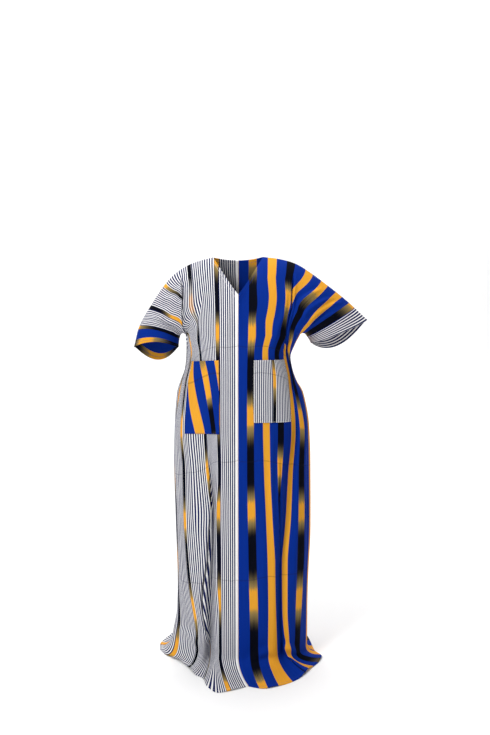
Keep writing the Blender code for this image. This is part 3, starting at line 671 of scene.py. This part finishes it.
def panel_surface(side, face):
    """A whole panel: points, flat coordinates and distances to its turned edges."""
    step = 0.0025
    wide = np.arange(round(BAND_START / step) + 1) * step
    body = np.arange(round(HALF_WIDTH / step) + 1) * step
    t = np.linspace(0.0, 1.0, 81)
    rows = np.linspace(0.0, 1.0, 201)[1:]
    upper = yoke_and_sleeve(side, face, wide, t)
    trunk, foot = skirt(side, face, body, rows)
    spread = floor_spread(side, face, body, trunk[:, -1], foot, np.linspace(0.0, 1.0, 37)[1:])
    lower = np.concatenate([trunk, spread], axis=1)
    whole = np.concatenate([upper[:body.size], lower], axis=1)
    drop = (1 - np.clip(wide / NECK_HALF, 0, 1)) * (0.160 if face == FRONT else 0.030)
    steps = np.linalg.norm(np.diff(upper, axis=1), axis=-1)
    upper_v = np.concatenate([np.zeros((wide.size, 1)), np.cumsum(steps, axis=1)], axis=1) + drop[:, None]
    steps = np.linalg.norm(np.diff(whole, axis=1), axis=-1)[:, t.size - 1:]
    lower_v = upper_v[:body.size, -1:] + np.cumsum(steps, axis=1)
    lower_normal = stand_out(whole, side, face)[:, t.size:]

    u = np.concatenate([
        np.linspace(0.0, HALF_WIDTH, round(HALF_WIDTH / COLUMN_STEP) + 1),
        np.linspace(HALF_WIDTH, BAND_START, round((BAND_START - HALF_WIDTH) / COLUMN_STEP) + 1)[1:],
    ])
    n = round(HALF_WIDTH / COLUMN_STEP) + 1
    down = np.concatenate([rows, np.full(36, 1.0)])
    above, above_height = slid_columns(side, face, u, t)
    below, below_height = slid_columns(side, face, u[:n], 1 + down * (UNDERARM_Z - FLOOR_Z) / 0.25)
    shape = (u.size, t.size + down.size)
    points, normal = np.full(shape + (3,), np.nan), np.full(shape + (3,), np.nan)
    v, height = np.full(shape, np.nan), np.full(shape, np.nan)
    points[:, :t.size] = read_across(upper, above, step)
    normal[:, :t.size] = read_across(stand_out(upper, side, face), above, step)
    v[:, :t.size] = read_across(upper_v, above, step)
    height[:, :t.size] = above_height
    points[:n, t.size:] = read_across(lower, below, step)
    normal[:n, t.size:] = read_across(lower_normal, below, step)
    v[:n, t.size:] = read_across(lower_v, below, step)
    height[:n, t.size:] = below_height

    flat_u = np.broadcast_to(u[:, None], v.shape)
    height = height + crease_height(side, face, flat_u, v)
    seams = ease(flat_u / 0.02)
    down_side = np.where(np.arange(v.shape[1])[None, :] >= t.size - 1, (HALF_WIDTH - flat_u), 1.0)
    seams = seams * ease(down_side / 0.025)
    shoulder = np.where(flat_u >= NECK_HALF, v, 1.0)
    underarm = np.where(flat_u > HALF_WIDTH - 0.02, v[:, t.size - 1:t.size] - v, 1.0)
    seams = seams * ease(shoulder / 0.02) * ease(underarm / 0.02) * ease((BAND_START - flat_u) / 0.015)
    off_floor = ease((points[..., 2] - FLOOR_Z - 0.004) / 0.03)
    pucker = -0.0012 * np.exp(-((flat_u / 0.0035) ** 2))
    points = points + normal * (height * seams * np.maximum(off_floor, 0.15) + pucker)[..., None]
    points[..., 2] = np.maximum(points[..., 2], FLOOR_Z + CLOTH_WALL)
    neck = (1 - np.clip(u / NECK_HALF, 0, 1)) * (0.160 if face == FRONT else 0.030)
    hem = np.where(np.isnan(points[..., 0]), 1.0, 0.5)
    hem[:n] = v[:n, -1:] - v[:n]
    neck_edge = np.where(flat_u < NECK_HALF, (v - neck[:, None]) * (0.5 if face == FRONT else 0.95), 1.0)
    return points, flat_u, v, hem, neck_edge, n, t.size


def cloth_piece(name, points, faces, flat, edge, look):
    """Put a sheet of points into a mesh, with its flat cut kept as a map.

    The map "cut" holds u and v in metres, the map "edge" the distance to the nearest
    turned edge and the run along it. The wall is thicker where the edge is doubled.
    """
    mesh = bpy.data.meshes.new(name)
    mesh.vertices.add(len(points))
    mesh.vertices.foreach_set("co", points.astype(np.float32).ravel())
    mesh.loops.add(faces.size)
    mesh.loops.foreach_set("vertex_index", faces.astype(np.int32).ravel())
    mesh.polygons.add(len(faces))
    mesh.polygons.foreach_set("loop_start", np.arange(len(faces), dtype=np.int32) * 4)
    mesh.update(calc_edges=True)
    mesh.validate()
    mesh.shade_smooth()
    for title, values in (("cut", flat), ("edge", edge)):
        layer = mesh.uv_layers.new(name=title)
        layer.data.foreach_set("uv", values[faces.ravel()].astype(np.float32).ravel())
    made = bpy.data.objects.new(name, mesh)
    bpy.context.scene.collection.objects.link(made)
    mesh.materials.append(look)
    doubled = made.vertex_groups.new(name="doubled")
    near = np.flatnonzero(edge[:, 0] < TURNED_EDGE)
    if near.size:
        doubled.add(near.tolist(), 1.0, "REPLACE")
    wall = made.modifiers.new("Wall", "SOLIDIFY")
    wall.thickness = CLOTH_WALL * 2
    wall.offset = 0.0
    wall.vertex_group = "doubled"
    wall.thickness_vertex_group = 0.5
    return made


def grid_quads(numbers, flip):
    """Quads between neighbouring rows and columns of a grid of point numbers."""
    quads = np.stack([numbers[:-1, :-1], numbers[1:, :-1], numbers[1:, 1:], numbers[:-1, 1:]], axis=-1)
    quads = quads.reshape(-1, 4)
    return quads[:, ::-1] if flip else quads


def make_panel(name, side, face, look):
    """Build one panel, hang it from the root, and hide the model part it stands in for."""
    points, u, v, hem, neck_edge, n, upper = panel_surface(side, face)
    used = ~np.isnan(points[..., 0])
    numbers = np.cumsum(used).reshape(used.shape) - 1
    flip = side * face < 0
    quads = np.concatenate([
        grid_quads(numbers[:n], flip),
        grid_quads(numbers[n - 1:, :upper], flip),
    ])
    flat = np.stack([u[used], v[used]], axis=-1)
    distance = np.minimum(hem, neck_edge)
    run = np.where(hem < neck_edge, u, v * 1.2)
    edge = np.stack([distance[used], run[used]], axis=-1)
    made = cloth_piece(name, points[used], quads, flat, edge, look)
    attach(made, "root")
    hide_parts(name[6:])
    return made


# Cotton for the panels.
# Plain-woven cotton. One cloth is royal blue with mustard stripes and stripes dyed in
# turn dark and mustard along their length, the other is white with navy pinstripes.
def node(tree, kind, *values, **settings):
    """Add a shader node, set or link its inputs in order, and give its first output."""
    made = tree.nodes.new(kind)
    for key, value in settings.items():
        setattr(made, key, value)
    for socket, value in zip(made.inputs, values):
        if isinstance(value, bpy.types.NodeSocket):
            tree.links.new(value, socket)
        elif value is not None:
            socket.default_value = value
    return made.outputs[0]


def maths(tree, operation, *values):
    """One step of arithmetic in a shader."""
    return node(tree, "ShaderNodeMath", *values, operation=operation)


def between(tree, value, low, high, soft):
    """1 where a value lies between two others, with soft ends."""
    rise = node(tree, "ShaderNodeMapRange", value, low - soft, low + soft)
    fall = node(tree, "ShaderNodeMapRange", value, high - soft, high + soft, 1.0, 0.0)
    return maths(tree, "MULTIPLY", rise, fall)


def blend(tree, factor, first, second, how="MIX"):
    """Two colours mixed by a factor."""
    made = tree.nodes.new("ShaderNodeMix")
    made.data_type = "RGBA"
    made.blend_type = how
    for socket, value in ((made.inputs[0], factor), (made.inputs[6], first), (made.inputs[7], second)):
        if isinstance(value, bpy.types.NodeSocket):
            tree.links.new(value, socket)
        elif isinstance(value, tuple):
            socket.default_value = (*value, 1.0)
        else:
            socket.default_value = value
    return made.outputs[2]


def new_group(name, ins, outs):
    """An empty node group with named inputs and outputs."""
    made = bpy.data.node_groups.new(name, "ShaderNodeTree")
    for title, value in ins:
        socket = made.interface.new_socket(title, in_out="INPUT", socket_type="NodeSocketFloat")
        socket.default_value = value
    for title, kind in outs:
        made.interface.new_socket(title, in_out="OUTPUT", socket_type=kind)
    return made, made.nodes.new("NodeGroupInput").outputs, made.nodes.new("NodeGroupOutput").inputs


def plain_weave_group():
    """Over and under threads, with slubs, seen close, and a soft crinkle seen from far."""
    tree, into, out = new_group(
        "plain_weave",
        [("u", 0.0), ("v", 0.0), ("threads per metre", 1800.0)],
        [("height", "NodeSocketFloat"), ("tone", "NodeSocketFloat")],
    )
    across = maths(tree, "MULTIPLY", into[0], into[2])
    down = maths(tree, "MULTIPLY", into[1], into[2])
    warp = maths(tree, "SINE", maths(tree, "MULTIPLY", across, math.pi))
    weft = maths(tree, "SINE", maths(tree, "MULTIPLY", down, math.pi))
    threads = maths(tree, "MULTIPLY", warp, weft)
    place = node(tree, "ShaderNodeCombineXYZ", into[0], into[1], 0.0)
    slub_place = node(tree, "ShaderNodeVectorMath", place, (700.0, 9.0, 1.0), operation="MULTIPLY")
    slub = node(tree, "ShaderNodeTexNoise", slub_place, None, 1.0, 2.0, 0.55)
    crinkle_place = node(tree, "ShaderNodeVectorMath", place, (34.0, 11.0, 1.0), operation="MULTIPLY")
    crinkle = node(tree, "ShaderNodeTexNoise", crinkle_place, None, 1.0, 3.0, 0.5)
    fine = maths(tree, "MULTIPLY", threads, 0.00006)
    soft = maths(tree, "MULTIPLY", crinkle, 0.0022)
    tree.links.new(maths(tree, "ADD", fine, soft), out[0])
    tone = maths(tree, "ADD", maths(tree, "MULTIPLY", slub, 0.24), maths(tree, "MULTIPLY", threads, 0.05))
    tree.links.new(maths(tree, "ADD", tone, 0.88), out[1])
    return tree


def stitch_group():
    """A row of straight machine stitches at a set distance from a turned edge."""
    tree, into, out = new_group(
        "stitch_row",
        [("distance", 1.0), ("run", 0.0), ("inset", 0.011)],
        [("mask", "NodeSocketFloat"), ("height", "NodeSocketFloat")],
    )
    off = maths(tree, "ABSOLUTE", maths(tree, "SUBTRACT", into[0], into[2]))
    near = node(tree, "ShaderNodeMapRange", off, 0.0003, 0.0008, 1.0, 0.0)
    step = maths(tree, "FRACT", maths(tree, "MULTIPLY", into[1], 1 / 0.0032))
    thread = between(tree, step, 0.10, 0.72, 0.08)
    mask = maths(tree, "MULTIPLY", near, thread)
    groove = node(tree, "ShaderNodeMapRange", off, 0.0, 0.0024, -0.0004, 0.0)
    tree.links.new(mask, out[0])
    tree.links.new(maths(tree, "ADD", groove, maths(tree, "MULTIPLY", mask, 0.0003)), out[1])
    return tree


plain_weave = plain_weave_group()
stitch_row = stitch_group()


# Creases pressed into the cloth, each a shallow dent with a thin line of painted shade along it.
PRESSED = [
    # length down the cloth at the centre, slope outward
    (0.335, 0.01), (0.722, 0.02), (1.135, -0.10),
]


def cotton(name, draw, thread):
    """Finish a cotton: its colours, the weave, the creases from when it lay folded in
    its packet, each a dent with a thin line of painted shade along it, and stitches
    at turned edges."""
    made = bpy.data.materials.new(name)
    made.use_nodes = True
    tree = made.node_tree
    shader = tree.nodes["Principled BSDF"]
    cut = tree.nodes.new("ShaderNodeUVMap")
    cut.uv_map = "cut"
    u = node(tree, "ShaderNodeSeparateXYZ", cut.outputs[0])
    v = tree.nodes[-1].outputs[1]
    edge = tree.nodes.new("ShaderNodeUVMap")
    edge.uv_map = "edge"
    distance = node(tree, "ShaderNodeSeparateXYZ", edge.outputs[0])
    run = tree.nodes[-1].outputs[1]
    weave = tree.nodes.new("ShaderNodeGroup")
    weave.node_tree = plain_weave
    tree.links.new(u, weave.inputs[0])
    tree.links.new(v, weave.inputs[1])
    row = tree.nodes.new("ShaderNodeGroup")
    row.node_tree = stitch_row
    tree.links.new(distance, row.inputs[0])
    tree.links.new(run, row.inputs[1])
    row.inputs[2].default_value = 0.011
    colour = draw(tree, u, v)
    tone = tree.nodes.new("ShaderNodeCombineXYZ")
    for k in range(3):
        tree.links.new(weave.outputs[1], tone.inputs[k])
    colour = blend(tree, 1.0, colour, tone.outputs[0], "MULTIPLY")
    colour = blend(tree, row.outputs[0], colour, thread)
    height = maths(tree, "ADD", weave.outputs[0], row.outputs[1])
    for length, slope in PRESSED:
        across = maths(tree, "ADD", maths(tree, "MULTIPLY", u, slope), length)
        off = maths(tree, "ABSOLUTE", maths(tree, "SUBTRACT", v, across))
        dent = node(tree, "ShaderNodeMapRange", off, 0.0, 0.0042, -0.0011, 0.0)
        height = maths(tree, "ADD", height, dent)
        # painted shade: the colour darkens in a thin line along the crease, standing in for the shade in its
        # dent
        shade = node(tree, "ShaderNodeMapRange", off, 0.0008, 0.0022, 0.30, 0.0)
        colour = blend(tree, shade, colour, (0.010, 0.012, 0.030))
    tree.links.new(colour, shader.inputs["Base Color"])
    bump = tree.nodes.new("ShaderNodeBump")
    bump.inputs["Strength"].default_value = 0.7
    bump.inputs["Distance"].default_value = 1.0
    tree.links.new(height, bump.inputs["Height"])
    tree.links.new(bump.outputs[0], shader.inputs["Normal"])
    rough = node(tree, "ShaderNodeMapRange", weave.outputs[1], 0.8, 1.1, 0.84, 0.72)
    tree.links.new(rough, shader.inputs["Roughness"])
    shader.inputs["Specular IOR Level"].default_value = 0.05
    shader.inputs["Sheen Weight"].default_value = 0.0
    shader.inputs["Sheen Roughness"].default_value = 0.5
    return made


DYE_STOPS = [
    # share of the repeat, colour
    (0.000, (0.0010, 0.0016, 0.0060)),
    (0.300, (0.0012, 0.0018, 0.0065)),
    (0.360, (0.050, 0.040, 0.024)),
    (0.440, (0.235, 0.165, 0.060)),
    (0.475, (0.330, 0.215, 0.062)),
    (0.490, (0.760, 0.345, 0.030)),
    (0.690, (0.760, 0.345, 0.030)),
    (0.705, (0.330, 0.215, 0.062)),
    (0.760, (0.210, 0.150, 0.058)),
    (0.840, (0.045, 0.036, 0.022)),
    (0.900, (0.0012, 0.0018, 0.0065)),
]
MUSTARD = (0.760, 0.345, 0.030)
BLUE = (0.0012, 0.0240, 0.245)
NAVY = (0.0060, 0.0105, 0.075)


DYE_TURNS = [
    # length down the cloth, turns of the dye, for every other stripe from the first
    [(0.0, -0.45), (0.03, -0.32), (0.108, -0.10), (0.159, 0.10), (0.285, 0.59), (0.426, 1.10),
     (0.564, 1.59), (0.741, 2.10), (0.892, 2.59), (1.031, 3.10), (1.200, 3.59), (1.370, 4.10),
     (1.560, 4.59)],
    # and for the stripes between them
    [(0.0, -0.08), (0.054, 0.10), (0.149, 0.59), (0.318, 1.10), (0.448, 1.59), (0.603, 2.10),
     (0.737, 2.59), (0.893, 3.10), (1.050, 3.59), (1.190, 4.10), (1.355, 4.59), (1.550, 5.10)],
]


def ramp(tree, factor, stops):
    """A colour ramp with the stops given."""
    made = tree.nodes.new("ShaderNodeValToRGB")
    tree.links.new(factor, made.inputs[0])
    while len(made.color_ramp.elements) < len(stops):
        made.color_ramp.elements.new(0.5)
    for stop, (at, colour) in zip(made.color_ramp.elements, stops):
        stop.position = at
        stop.color = (*colour, 1.0)
    return made.outputs[0]


def dyed_stripe(tree, u, v, odd):
    """A stripe dyed in turn dark and mustard, with streaky fades between."""
    fine, long = maths(tree, "MULTIPLY", u, 1300.0), maths(tree, "MULTIPLY", v, 5.0)
    place = node(tree, "ShaderNodeCombineXYZ", fine, long, 0.0)
    streak = node(tree, "ShaderNodeTexNoise", place, None, 1.0, 1.0, 0.5)
    drift = maths(tree, "MULTIPLY", maths(tree, "SUBTRACT", streak, 0.5), 0.055)
    along = maths(tree, "MULTIPLY", maths(tree, "ADD", v, drift), 1 / 1.6)
    first, second = (
        node(tree, "ShaderNodeSeparateColor", ramp(tree, along, stops))
        for stops in ([(at / 1.6, ((turns + 1) / 8,) * 3) for at, turns in rows] for rows in DYE_TURNS)
    )
    turns = maths(tree, "ADD", first, maths(tree, "MULTIPLY", odd, maths(tree, "SUBTRACT", second, first)))
    return ramp(tree, maths(tree, "FRACT", maths(tree, "MULTIPLY", turns, 8.0)), DYE_STOPS)


def blue_stripe(tree, u, v):
    """Royal blue; in each repeat one dyed stripe and one mustard stripe."""
    repeat, stripe, first = 0.132, 0.0290, 0.0375
    shifted = maths(tree, "SUBTRACT", u, first)
    index = maths(tree, "FLOOR", maths(tree, "MULTIPLY", shifted, 1 / repeat))
    inside = maths(tree, "SUBTRACT", shifted, maths(tree, "MULTIPLY", index, repeat))
    odd = maths(tree, "MODULO", maths(tree, "ABSOLUTE", index), 2.0)
    sleeve_end = maths(tree, "MULTIPLY", maths(tree, "GREATER_THAN", index, 2.5), 0.155)
    third, upper = between(tree, index, 1.5, 2.5, 0.01), between(tree, v, -1.0, 0.25, 0.1)
    upper_arm = maths(tree, "MULTIPLY", third, upper)
    moved = maths(tree, "SUBTRACT", sleeve_end, maths(tree, "MULTIPLY", upper_arm, 0.05))
    dyed = dyed_stripe(tree, u, maths(tree, "ADD", v, moved), odd)
    colour = blend(tree, between(tree, inside, 0.0, stripe, 0.0003), BLUE, dyed)
    return blend(tree, between(tree, inside, repeat / 2, repeat / 2 + stripe, 0.0003), colour, MUSTARD)


def pinstripe(tree, u, v):
    """White with fine navy lines, and at even steps a thin dyed stripe, faint at one place."""
    first, pitch, line = 0.0110, 0.0078, 0.0046
    share = maths(tree, "FRACT", maths(tree, "MULTIPLY", maths(tree, "SUBTRACT", u, first), 1 / pitch))
    lines = between(tree, share, 0.04, 0.04 + line / pitch, 0.05)
    lines = maths(tree, "MULTIPLY", lines, maths(tree, "GREATER_THAN", u, first))
    colour = blend(tree, lines, (0.87, 0.865, 0.86), NAVY)
    apart, width = 0.0955, 0.0150
    index = maths(tree, "FLOOR", maths(tree, "MULTIPLY", maths(tree, "SUBTRACT", u, 0.029), 1 / apart))
    inside = maths(tree, "SUBTRACT", maths(tree, "SUBTRACT", u, 0.029), maths(tree, "MULTIPLY", index, apart))
    odd = maths(tree, "MODULO", maths(tree, "ABSOLUTE", index), 2.0)
    dyed = dyed_stripe(tree, u, v, odd)
    middle = 0.0477
    second, high = between(tree, index, 0.5, 1.5, 0.01), between(tree, v, 0.09, 0.235, 0.025)
    chest = maths(tree, "MULTIPLY", second, high)
    strength = maths(tree, "SUBTRACT", 1.0, maths(tree, "MULTIPLY", chest, 0.6))
    stripe = between(tree, inside, middle - width / 2, middle + width / 2, 0.0004)
    return blend(tree, maths(tree, "MULTIPLY", stripe, strength), colour, dyed)


blue_cotton = cotton("blue_stripe_cotton", blue_stripe, (0.010, 0.030, 0.260))
white_cotton = cotton("pinstripe_cotton", pinstripe, (0.80, 0.79, 0.77))

front_left = make_panel("cloth_front_left", LEFT, FRONT, blue_cotton)
front_right = make_panel("cloth_front_right", RIGHT, FRONT, white_cotton)
back_left = make_panel("cloth_back_left", LEFT, BACK, blue_cotton)
back_right = make_panel("cloth_back_right", RIGHT, BACK, white_cotton)


# Sleeve bands.
# A band of the other cloth sewn round the end of each sleeve, folded over at the cuff
# so that it is two layers thick.
def make_band(name, side, look, pattern_start, pattern_scale):
    """A ring of cloth: the front half of the sleeve's end, then the back half."""
    u = np.linspace(BAND_START, 0.525, 25)
    t = np.linspace(0.0, 1.0, 61)
    front = yoke_and_sleeve(side, FRONT, u, t)
    back = yoke_and_sleeve(side, BACK, u, t)
    ring = np.concatenate([front, back[:, -2:0:-1]], axis=1)
    closed = np.concatenate([ring[:, -1:], ring, ring[:, :1]], axis=1)
    normal = np.cross(np.gradient(closed, axis=0), np.gradient(closed, axis=1))[:, 1:-1]
    normal *= -side / np.linalg.norm(normal, axis=-1, keepdims=True)
    around = np.linspace(0.0, 2 * math.pi, ring.shape[1], endpoint=False)
    share = (u - BAND_START) / (u[-1] - BAND_START)
    soft = 0.0016 * np.sin(3 * around + side)[None, :] * share[:, None]
    seam = -0.0008 * np.exp(-(((u - BAND_START) / 0.003) ** 2))[:, None]
    ring = ring + normal * (soft + seam)[..., None]
    numbers = np.arange(ring.shape[0] * ring.shape[1]).reshape(ring.shape[:2])
    quads = grid_quads(np.hstack([numbers, numbers[:, :1]]), side > 0)
    steps = np.linalg.norm(np.diff(closed[:, 1:], axis=1), axis=-1)
    v = np.concatenate([np.zeros((u.size, 1)), np.cumsum(steps, axis=1)[:, :-1]], axis=1)
    flat_u = np.broadcast_to(u[:, None], v.shape)
    across = (flat_u - BAND_START) * pattern_scale + pattern_start[0]
    flat = np.stack([across, v + pattern_start[1]], axis=-1).reshape(-1, 2)
    edge = np.stack([(0.525 - flat_u) + 0.0005, v], axis=-1).reshape(-1, 2)
    made = cloth_piece(name, ring.reshape(-1, 3), quads, flat, edge, look)
    made.modifiers["Wall"].thickness = 0.0022
    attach(made, "root")
    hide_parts(name[6:])
    return made


band_left = make_band("cloth_sleeve_band_left", LEFT, white_cotton, (0.196, 0.0), 0.78)
band_right = make_band("cloth_sleeve_band_right", RIGHT, blue_cotton, (0.1325, 0.065), 1.0)


# Patch pockets.
# A square of the other cloth laid on each front, turned in all round, sewn down at both
# sides and the bottom, with a wide hem at its open mouth.
def make_pocket(name, side, u_span, rows, look, pattern):
    """A piece of the front's own surface, moved out, with its own cut."""
    points, flat_u, v = panel_surface(side, FRONT)[:3]
    first, last = rows
    columns = np.flatnonzero((flat_u[:, 0] >= u_span[0] - 1e-6) & (flat_u[:, 0] <= u_span[1] + 1e-6))
    part = points[columns[0]:columns[-1] + 1, first:last + 1]
    normal = stand_out(part, side, FRONT)
    across = (flat_u[columns, 0] - u_span[0]) / (u_span[1] - u_span[0])
    down = (v[columns, first:last + 1] - v[columns, first:first + 1])
    down = down / down[:, -1:]
    a, d = np.broadcast_arrays(across[:, None], down)
    puff = np.sin(math.pi * a) * (1 - ease((d - 0.55) / 0.45)) * np.where(d < 0.08, 0.75 + 3 * d, 1.0)
    part = part + normal * (0.0020 + 0.0040 * puff)[..., None]
    numbers = np.arange(part.shape[0] * part.shape[1]).reshape(part.shape[:2])
    flat = pattern(flat_u[columns][:, first:last + 1], v[columns, first:last + 1])
    width = u_span[1] - u_span[0]
    height = float((v[columns, last] - v[columns, first]).mean())
    side_gap = np.minimum(a, 1 - a) * width
    below = (1 - d) * height
    mouth = d * height - 0.014
    gaps = np.stack([side_gap + 0.0085, below + 0.0085, np.abs(mouth) + 0.011], axis=-1)
    nearest = gaps.argmin(axis=-1)
    run = np.where(nearest == 0, d * height, a * width)
    edge = np.stack([gaps.min(axis=-1), run], axis=-1).reshape(-1, 2)
    quads = grid_quads(numbers, side * FRONT < 0)
    made = cloth_piece(name, part.reshape(-1, 3), quads, flat.reshape(-1, 2), edge, look)
    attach(made, "root")
    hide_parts(name[6:])
    return made


def pinstripe_pocket_cut(u, v):
    """Cut so that one thin dyed stripe runs down the middle of the pocket."""
    return np.stack([u + 0.018, v + 0.297], axis=-1)


def blue_pocket_cut(u, v):
    """Cut a little off the straight, so the stripes lean."""
    lean = 0.20 * (v - v[:, :1])
    length = 0.768 + (v - 0.5) * np.where(v < 0.5, 0.55, 1.6)
    return np.stack([0.252 - 0.8 * (u - 0.072 + lean), length], axis=-1)


pocket_left = make_pocket(
    "cloth_pocket_left", LEFT, (0.062, 0.234), (95, 133), white_cotton, pinstripe_pocket_cut
)
pocket_right = make_pocket(
    "cloth_pocket_right", RIGHT, (0.072, 0.245), (95, 140), blue_cotton, blue_pocket_cut
)
